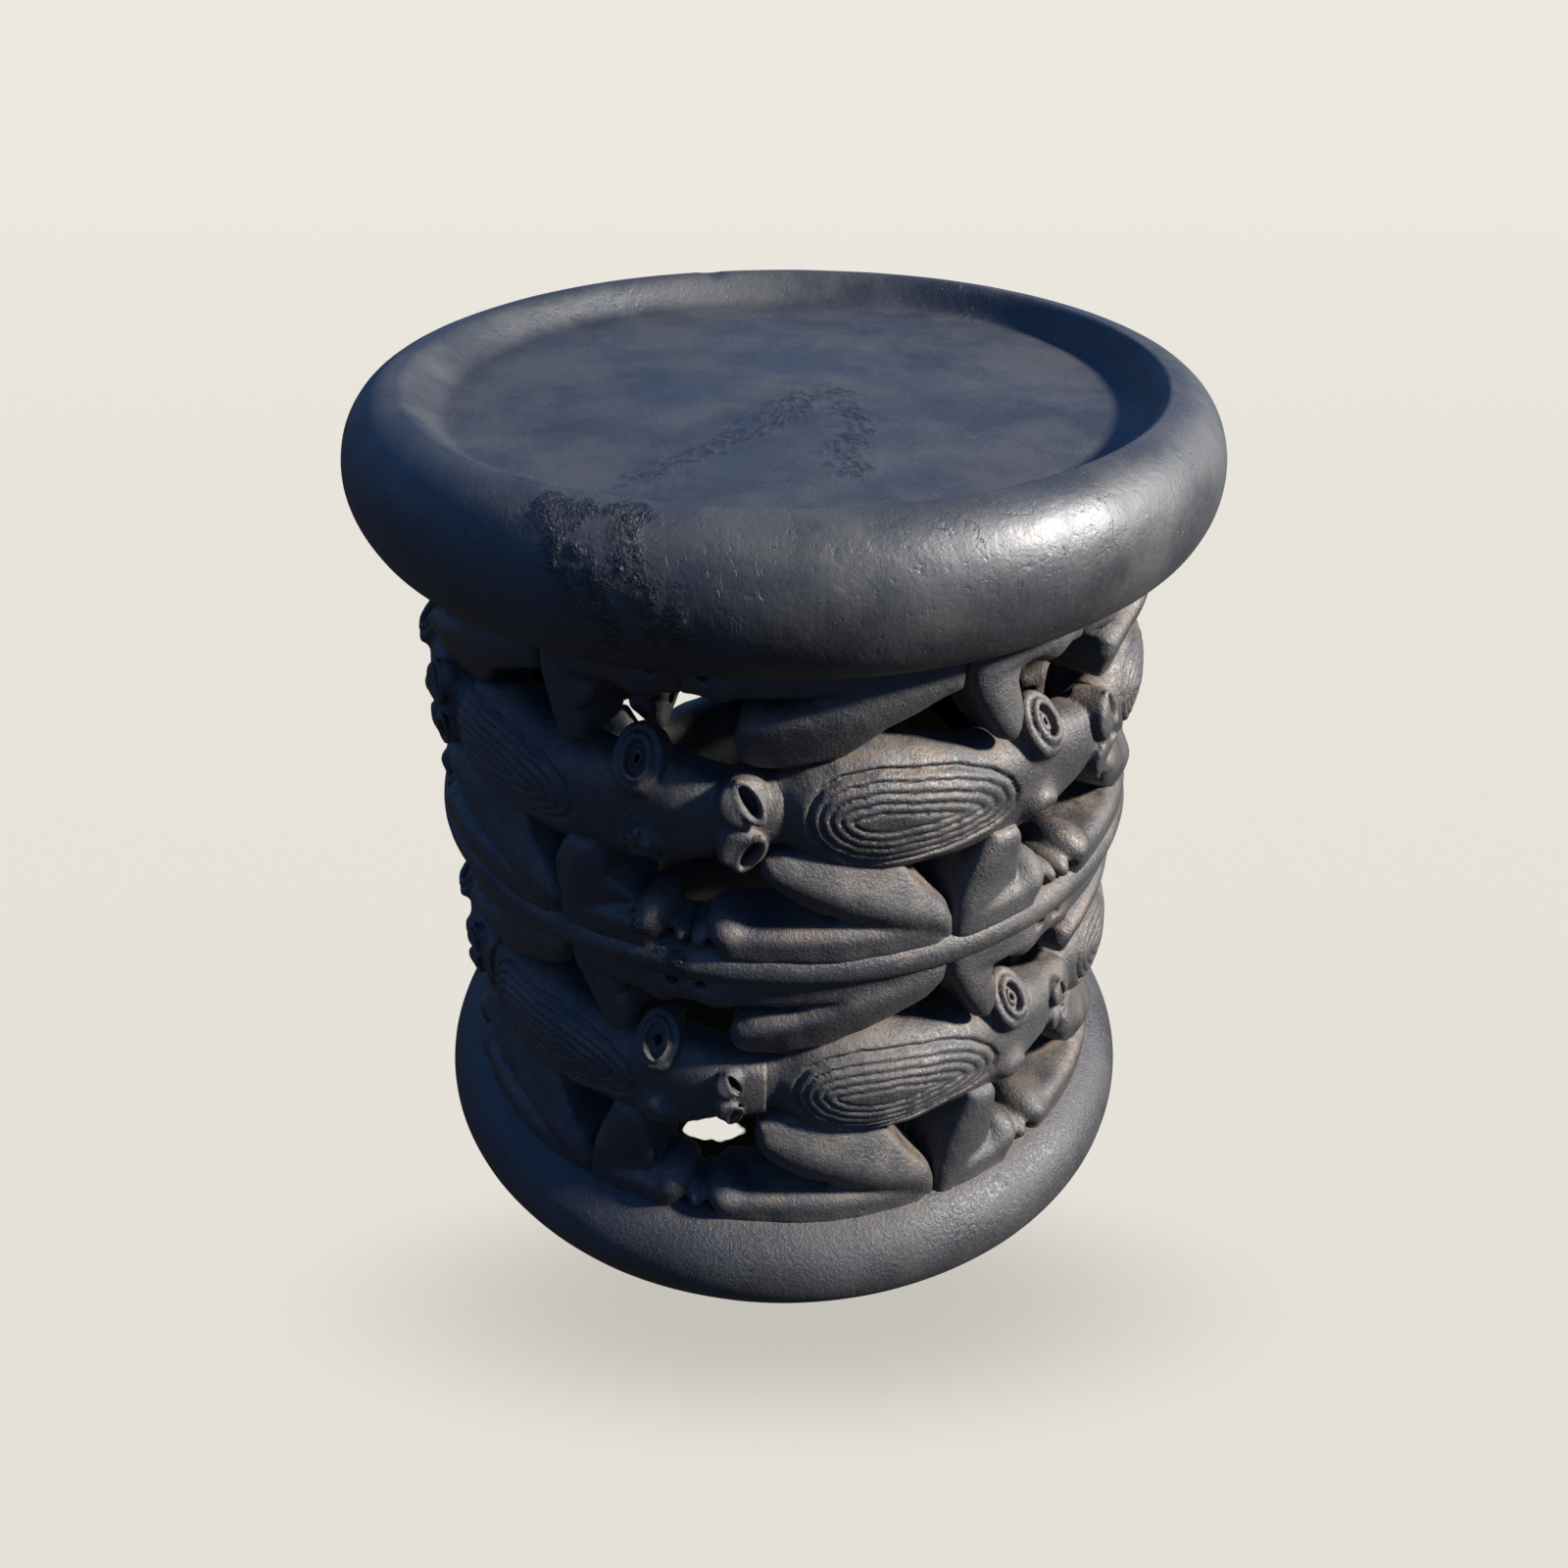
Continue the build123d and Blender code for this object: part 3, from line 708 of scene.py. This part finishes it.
# ------------------------------------------------------------------ material
def blackened_wood(finish):
    """Hardwood blackened in the fire and rubbed with oil: near black with a cool satin sheen,
    greyer where hands rub it, brown with dust in the hollows and matt where the char is crusted."""
    material = bpy.data.materials.get("blackened_hardwood")
    if material:
        return material
    material = bpy.data.materials.new("blackened_hardwood")
    material.use_nodes = True
    tree = material.node_tree
    tree.nodes.clear()
    where = add_node(tree, "ShaderNodeTexCoord").outputs["Object"]

    def noise(size, detail, roughness=0.5, vector=where):
        return add_node(tree, "ShaderNodeTexNoise",
                        {"Vector": vector, "Scale": 1 / (size * MM), "Detail": detail,
                         "Roughness": roughness}).outputs["Fac"]

    def ramp(value, low, high):
        return add_node(tree, "ShaderNodeMapRange",
                        {"Value": value, "From Min": low, "From Max": high}).outputs["Result"]

    def mix(share, a, b):
        node = add_node(tree, "ShaderNodeMix", {0: share, 6: a, 7: b}, data_type="RGBA")
        return node.outputs[2]

    def combine(operation, a, b):
        return add_node(tree, "ShaderNodeMath", {0: a, 1: b}, operation=operation).outputs[0]

    wood, worn = list(finish.wood_colour), list(finish.worn_colour)
    dust, crust = list(finish.dust_colour), list(finish.crust_colour)
    dark = [c * 0.55 for c in wood[:3]] + [1.0]
    hollow = add_node(tree, "ShaderNodeAmbientOcclusion", {"Distance": 0.022}, samples=8).outputs["AO"]
    edge = add_node(tree, "ShaderNodeAmbientOcclusion", {"Distance": 0.006}, samples=8,
                    inside=True).outputs["AO"]
    crusted = add_node(tree, "ShaderNodeAttribute", attribute_name="crust").outputs["Fac"]

    # Cloudy tone, 40 mm patches, over upright grain about 1 mm wide
    stretched = add_node(tree, "ShaderNodeMapping", {"Vector": where, "Scale": (1, 1, 0.06)}).outputs[0]
    cloud = ramp(noise(40, 4), 0.35, 0.7)
    grain = noise(1.1, 3, vector=stretched)
    colour = mix(cloud, dark, wood)
    colour = mix(combine("MULTIPLY", ramp(grain, 0.45, 0.75), 0.3), colour, worn)
    dusty = combine("MULTIPLY", ramp(hollow, 0.9, 0.35), ramp(noise(11, 5, 0.65), 0.38, 0.58))
    colour = mix(combine("MULTIPLY", dusty, 0.85), colour, dust)
    rubbed = combine("MULTIPLY", ramp(edge, 0.8, 0.45), ramp(noise(14, 3), 0.35, 0.65))
    colour = mix(combine("MULTIPLY", rubbed, 0.45), colour, worn)

    # Mottling 3.5 mm across, the dust colour laid over faces that look up below the seat, and smudges
    mottled = ramp(noise(3.5, 4, 0.7), 0.35, 0.7)
    colour = mix(combine("MULTIPLY", mottled, 0.3), colour, dark)
    upward = add_node(tree, "ShaderNodeSeparateXYZ",
                      {0: add_node(tree, "ShaderNodeTexCoord").outputs["Normal"]}).outputs[2]
    height_up = add_node(tree, "ShaderNodeSeparateXYZ", {0: where}).outputs[2]
    # Faces that look up below the seat are made lighter and browner with the dust colour, with a few specks
    up_facing_tint = combine("MULTIPLY", ramp(upward, -0.1, 0.6), ramp(height_up, 0.40, 0.37))
    up_facing_tint = combine("MULTIPLY", up_facing_tint, ramp(noise(24, 5, 0.65), 0.42, 0.62))
    up_facing_tint = combine("MULTIPLY", up_facing_tint, ramp(height_up, 0.05, 0.07))
    speckled = combine("MULTIPLY", ramp(noise(2.0, 3, 0.75), 0.45, 0.62), ramp(height_up, 0.42, 0.38))
    up_facing_tint = combine("MAXIMUM", combine("MULTIPLY", up_facing_tint, 0.6), combine("MULTIPLY", speckled, 0.12))
    colour = mix(up_facing_tint, colour, dust)
    smudged = ramp(noise(55, 5, 0.62), 0.42, 0.62)
    colour = mix(combine("MULTIPLY", smudged, 0.35), colour, worn)

    # Hairline checks up the log, few and short
    drawn = add_node(tree, "ShaderNodeMapping", {"Vector": where, "Scale": (1, 1, 0.22)}).outputs[0]
    line = combine("ABSOLUTE", combine("SUBTRACT", noise(9, 2, 0.5, vector=drawn), 0.5), 0.0)
    checks = combine("MULTIPLY", ramp(line, 0.006, 0.001), ramp(noise(24, 2), 0.55, 0.62))
    colour = mix(combine("MULTIPLY", checks, 0.85), colour, crust)
    # Specks of dust colour in the burnt crust, which also stand in, dull, for the glints on its grit: a
    # painted highlight
    dust_and_glint_specks = ramp(noise(2.2, 2, 0.7), 0.6, 0.66)
    colour = mix(ramp(crusted, 0.15, 0.5), colour, mix(combine("MULTIPLY", dust_and_glint_specks, 0.6), crust, dust))

    rough = combine("ADD", finish.roughness, combine("MULTIPLY", noise(6, 5, 0.6), 0.1))
    rough = combine("ADD", rough, combine("MULTIPLY", smudged, 0.12))
    rough = combine("ADD", rough, combine("MULTIPLY", dusty, 0.25))
    rough = combine("SUBTRACT", rough, combine("MULTIPLY", crusted, 0.2))

    # Pores, small knocks, the undulation that the knife leaves, and the crust's grit
    pores = ramp(noise(0.9, 2, vector=stretched), 0.35, 0.5)
    knocks = ramp(noise(4.5, 3, 0.55), 0.26, 0.4)
    height = combine("ADD", combine("MULTIPLY", pores, 0.03), combine("MULTIPLY", knocks, 0.4))
    height = combine("ADD", height, combine("MULTIPLY", noise(13, 3), 1.4))
    height = combine("ADD", height, combine("MULTIPLY", noise(3.2, 4, 0.65), 0.7))
    height = combine("ADD", height, combine("MULTIPLY", speckled, 0.5))
    height = combine("SUBTRACT", height, combine("MULTIPLY", checks, 0.8))
    grit = add_node(tree, "ShaderNodeTexVoronoi",
                    {"Vector": where, "Scale": 1 / (1.9 * MM)}).outputs["Distance"]
    grit = combine("SUBTRACT", combine("MULTIPLY", noise(1.2, 3, 0.7), 4.5), combine("MULTIPLY", grit, 3.0))
    height = combine("ADD", height, combine("MULTIPLY", crusted, grit))
    bump = add_node(tree, "ShaderNodeBump", {"Strength": 0.6, "Distance": 0.0006, "Height": height})
    shader = add_node(tree, "ShaderNodeBsdfPrincipled",
                      {"Base Color": colour, "Roughness": rough, "Normal": bump.outputs[0], "IOR": 1.5})
    add_node(tree, "ShaderNodeOutputMaterial", {"Surface": shader.outputs[0]})
    return material


def pale_ground():
    """A ground that glows evenly, but for a painted soft shadow before the table and painted shade
    inside it, where one ragged patch is a painted pool of daylight, as if it came in from behind."""
    material = bpy.data.materials.new("pale_ground")
    material.use_nodes = True
    tree = material.node_tree
    tree.nodes.clear()
    where = add_node(tree, "ShaderNodeTexCoord").outputs["Object"]
    away = add_node(tree, "ShaderNodeSeparateXYZ", {0: where}).outputs[1]

    def fade(value, low, high, dark, light):
        return add_node(tree, "ShaderNodeMapRange",
                        {"Value": value, "From Min": low, "From Max": high, "To Min": dark, "To Max": light},
                        interpolation_type="SMOOTHSTEP").outputs[0]

    def oval(centre, halves):
        shrunk = add_node(tree, "ShaderNodeMapping",
                          {"Vector": where, "Location": (*centre, 0.0), "Scale": (*halves, 1.0)},
                          vector_type="TEXTURE").outputs[0]
        return add_node(tree, "ShaderNodeVectorMath", {0: shrunk}, operation="LENGTH").outputs["Value"]

    def darken(colour, amount):
        return add_node(tree, "ShaderNodeMix", {0: 1.0, 6: colour, 7: amount}, data_type="RGBA",
                        blend_type="MULTIPLY").outputs[2]

    share = add_node(tree, "ShaderNodeMapRange",
                     {"Value": away, "From Min": -0.4, "From Max": 3.0}).outputs[0]
    pale = add_node(tree, "ShaderNodeMix", {0: share, 6: linear("#E5E1D8"), 7: linear("#ECE8DF")},
                    data_type="RGBA").outputs[2]
    # Painted shadow: a soft oval of shade on the ground before the table, down to 0.72 of the glow
    pale = darken(pale, fade(oval((0.0, -0.195), (0.31, 0.105)), 0.25, 1.0, 0.72, 1.0))
    # Painted shade: the ground inside the base ring is darkened nearly to black
    table = BASE_OUTSIDE * MM - 0.03
    under = fade(oval((0.0, 0.0), (table, table)), 0.97, 1.0, 0.002, 1.0)
    # Painted pool of daylight: one ragged oval inside the ring keeps its glow
    ragged = add_node(tree, "ShaderNodeTexNoise",
                      {"Vector": where, "Scale": 75.0, "Detail": 1.0}).outputs["Fac"]
    patch = add_node(tree, "ShaderNodeMath",
                     {0: oval((-0.044, -0.072), (0.0185, 0.0105)), 1: ragged}, operation="ADD").outputs[0]
    painted_daylight_patch = fade(patch, 1.35, 1.45, 1.0, 0.0)
    inside = add_node(tree, "ShaderNodeMath", {0: under, 1: painted_daylight_patch}, operation="MAXIMUM").outputs[0]
    pale = darken(pale, inside)
    glow = add_node(tree, "ShaderNodeEmission", {"Color": pale})
    add_node(tree, "ShaderNodeOutputMaterial", {"Surface": glow.outputs[0]})
    return material


# ------------------------------------------------------------------ operators
class DRUM_OT_seat(bpy.types.Operator):
    """Turn the dished seat and its rolled rim"""

    bl_idname = "drum_table.seat"
    bl_label = "Seat"

    def execute(self, context):
        finish = context.scene.drum_finish
        rim = RIM_OUTSIDE - RIM_WIDTH / 2
        half_height = (SEAT_TOP - ROOF_FACE["upper"]) / 2
        floor = SEAT_TOP - DISH_DEPTH
        ceiling = floor - PLATE_THICKNESS
        profile = arc((rim, SEAT_TOP - half_height), (RIM_WIDTH / 2 - 0.6, half_height - 0.5), -90, 90, 62)
        bank = np.linspace(0, 1, 14)[1:]
        profile += [(rim - (rim - DISH_RADIUS) * t,
                     floor + (SEAT_TOP - floor) * (1 + math.cos(math.pi * t)) / 2) for t in bank]
        profile += straight(profile[-1], (0, floor), 60) + [(0, floor), (0, ceiling)]
        profile += straight((0, ceiling), (HOLLOW_RADIUS, ceiling), 6)
        profile += [(HOLLOW_RADIUS, ceiling), (HOLLOW_MOUTH, ROOF_FACE["upper"] + 0.6)]
        profile += straight(profile[-1], profile[0], 5)
        seat = turned_piece("seat_rim_and_dish", profile, blackened_wood(finish), Segments=640,
                            Unevenness=0.0022, Unevenness_Size=0.11, Seed=3.1)
        for vertex in seat.data.vertices:
            if vertex.co.z > (floor - 3) * MM:
                inward = (rim * MM - math.hypot(vertex.co.x, vertex.co.y)) / 0.02
                vertex.co.x += DISH_ASIDE * MM * min(max(inward, 0), 1)
        settle(seat, blackened_wood(finish), "seat")
        return {"FINISHED"}


class DRUM_OT_rings(bpy.types.Operator):
    """Turn the girdle between the tiers and the base ring"""

    bl_idname = "drum_table.rings"
    bl_label = "Girdle and Base Ring"

    def execute(self, context):
        finish = context.scene.drum_finish
        low, high = ROOF_FACE["lower"], FLOOR_FACE["upper"]
        nose = (high - low) / 2
        profile = arc((GIRDLE_OUTSIDE - nose, low + nose), (nose - 0.4, nose), -90, 90, 20)
        inner = GIRDLE_OUTSIDE - 41.5
        profile += straight(profile[-1], (inner, high), 6) + [(inner, high), (inner, low)]
        profile += straight((inner, low), profile[0], 6)
        girdle = turned_piece("girdle_cord", profile, blackened_wood(finish), Segments=640,
                              Unevenness=0.0024, Unevenness_Size=0.07, Seed=5.3)
        settle(girdle, blackened_wood(finish), "girdle")
        top = FLOOR_FACE["lower"]
        half = (top + 2) / 2
        opening = math.degrees(math.asin((top - half) / half))
        profile = arc((BASE_OUTSIDE - 33, top - half), (32.4, half - 0.3), -opening, 180 + opening, 96)
        profile += straight(profile[-1], profile[0], 8)
        base = turned_piece("base_ring_carved", profile, blackened_wood(finish), Segments=640,
                            Unevenness=0.0024, Unevenness_Size=0.12, Seed=9.7)
        settle(base, blackened_wood(finish), "base_ring")
        return {"FINISHED"}


class DRUM_OT_animals(bpy.types.Operator):
    """Carve the animals of both tiers"""

    bl_idname = "drum_table.animals"
    bl_label = "Animals"

    def execute(self, context):
        carving = context.scene.drum_carving
        material = blackened_wood(context.scene.drum_finish)
        fine = carving.carve_step / MM * 1.0
        coarse = fine * 1.25
        for tier in ("upper", "lower"):
            for number in range(1, ANIMALS + 1):
                seed = carving.seed + 100 * number + (50 if tier == "lower" else 0)
                animal = Animal(tier, number, seed)
                degree, later = animal.degree, animal.later
                body = carve(animal, lambda u, v, w: body_form(animal, carving, u, v, w),
                             (-2 * degree, 61.5 * degree), (-41, 41), (-52, 6), fine)
                tall = (-animal.down - 5, animal.up + 5)
                hind = carve(animal, lambda u, v, w: both_sides(animal, hind_form, u, v, w),
                             ((later - 15) * degree, (later + 26.2) * degree), tall, (-46, 4), coarse)
                fore = carve(animal, lambda u, v, w: both_sides(animal, fore_form, u, v, w),
                             ((later + 23.8) * degree, (later + 48) * degree), tall, (-46, 4), coarse)
                for part, (places, faces) in (("body", body), ("hind_legs", hind), ("fore_legs", fore)):
                    piece = new_piece("carved_" + animal.name(part), places, faces)
                    settle(piece, material, animal.name(part))
        return {"FINISHED"}


class DRUM_OT_stage(bpy.types.Operator):
    """Lay the pale floor and set up the sky, the sun and the camera"""

    bl_idname = "drum_table.stage"
    bl_label = "Stage"

    def execute(self, context):
        scene = context.scene
        mesh = bpy.data.meshes.new("floor")
        reach = 12.0
        mesh.from_pydata([(-reach, -reach, 0), (reach, -reach, 0), (reach, reach, 0), (-reach, reach, 0)],
                         [], [(0, 1, 2, 3)])
        floor = bpy.data.objects.new("floor", mesh)
        context.collection.objects.link(floor)
        mesh.materials.append(pale_ground())
        floor.visible_diffuse = False
        floor.visible_glossy = False

        # Blue sky, brightest low down, over dark ground
        world = bpy.data.worlds.new("clear_sky")
        world.use_nodes = True
        tree = world.node_tree
        ray = add_node(tree, "ShaderNodeTexCoord").outputs["Generated"]
        height = add_node(tree, "ShaderNodeSeparateXYZ", {0: ray}).outputs[2]
        sky = add_node(tree, "ShaderNodeValToRGB", {0: height})
        low, high = sky.color_ramp.elements
        low.position, low.color = 0.0, linear("#4A453F")
        high.position, high.color = 1.0, linear("#3E76CC")
        horizon = sky.color_ramp.elements.new(0.06)
        horizon.color = linear("#759FDC")
        background = tree.nodes["Background"]
        tree.links.new(sky.outputs[0], background.inputs["Color"])
        background.inputs["Strength"].default_value = 1.0
        scene.world = world

        def area_light(name, place, target, size, energy, colour):
            light = bpy.data.lights.new(name, "AREA")
            light.shape = "DISK"
            light.size = size
            light.energy = energy
            light.color = linear(colour)[:3]
            lamp = bpy.data.objects.new(name, light)
            lamp.location = place
            lamp.rotation_euler = (Vector(target) - Vector(place)).to_track_quat("-Z", "Y").to_euler()
            context.collection.objects.link(lamp)

        area_light("sun", (3.01, -0.75, 2.25), (0, 0, 0.3), 0.4, 620, "#FFFAF4")

        camera = bpy.data.cameras.new("camera")
        camera.sensor_width = 36.0
        camera.lens = camera.sensor_width * FOCAL_PIXELS / IMAGE_WIDTH
        camera.shift_y = -147 / IMAGE_WIDTH
        view = bpy.data.objects.new("camera", camera)
        view.location = (0, -0.757, 0.706)
        view.rotation_euler = (Vector((0, 0, 0.310)) - view.location).to_track_quat("-Z", "Y").to_euler()
        context.collection.objects.link(view)
        scene.camera = view
        scene.view_settings.view_transform = "Standard"
        return {"FINISHED"}


class DRUM_PT_panel(bpy.types.Panel):
    """The drum table's settings and makers"""

    bl_idname = "DRUM_PT_panel"
    bl_label = "Drum Table"
    bl_space_type = "VIEW_3D"
    bl_region_type = "UI"
    bl_category = "Drum Table"

    def draw(self, context):
        column = self.layout.column()
        for settings in (context.scene.drum_carving, context.scene.drum_finish):
            for name in settings.__annotations__:
                column.prop(settings, name)
        for operator in OPERATORS:
            column.operator(operator.bl_idname)


OPERATORS = (DRUM_OT_seat, DRUM_OT_rings, DRUM_OT_animals, DRUM_OT_stage)
CLASSES = (DrumCarving, DrumFinish, *OPERATORS, DRUM_PT_panel)


def register():
    for cls in CLASSES:
        bpy.utils.register_class(cls)
    bpy.types.Scene.drum_carving = bpy.props.PointerProperty(type=DrumCarving)
    bpy.types.Scene.drum_finish = bpy.props.PointerProperty(type=DrumFinish)


def unregister():
    del bpy.types.Scene.drum_finish
    del bpy.types.Scene.drum_carving
    for cls in reversed(CLASSES):
        bpy.utils.unregister_class(cls)


def main():
    register()
    bpy.ops.drum_table.stage()
    bpy.ops.drum_table.seat()
    bpy.ops.drum_table.rings()
    bpy.ops.drum_table.animals()


if __name__ == "__main__":
    main()
